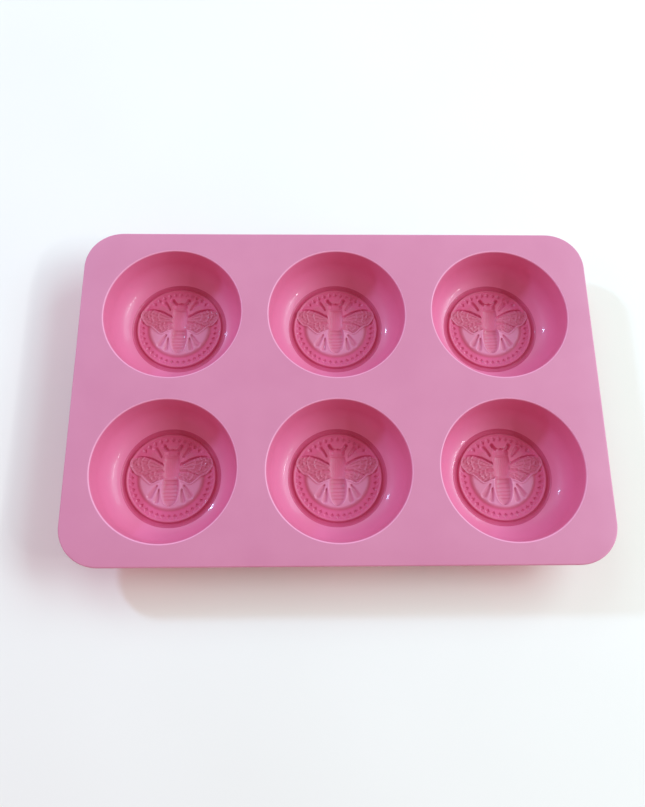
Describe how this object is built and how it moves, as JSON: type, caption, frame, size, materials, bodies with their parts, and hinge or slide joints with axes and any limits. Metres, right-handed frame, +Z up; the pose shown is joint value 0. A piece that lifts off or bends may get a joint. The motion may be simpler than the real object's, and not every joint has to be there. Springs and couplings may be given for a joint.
{
  "type": "silicone soap mould",
  "caption": "Flexible soap mould tray with round bowl-shaped cavities, each with a bee and beaded border in relief on its floor.",
  "frame": {"origin": "centre of the tray's footprint, on the plane that the undersides of the cups stand on", "axes": "+X along the tray's length, +Z up out of the cavities, -Y towards the front, where the bees' tails point"},
  "size_m": [0.27, 0.178, 0.025],
  "materials": {
    "satin_silicone": "satin",
    "gloss_silicone": "gloss"
  },
  "bodies": {
    "root": {"deck_sheet": "satin_silicone", "cup_wall_front_left": "gloss_silicone", "bee_floor_front_left": "gloss_silicone", "cup_wall_front_middle": "gloss_silicone", "bee_floor_front_middle": "gloss_silicone", "cup_wall_front_right": "gloss_silicone", "bee_floor_front_right": "gloss_silicone", "cup_wall_back_left": "gloss_silicone", "bee_floor_back_left": "gloss_silicone", "cup_wall_back_middle": "gloss_silicone", "bee_floor_back_middle": "gloss_silicone", "cup_wall_back_right": "gloss_silicone", "bee_floor_back_right": "gloss_silicone"}
  },
  "joints": []
}
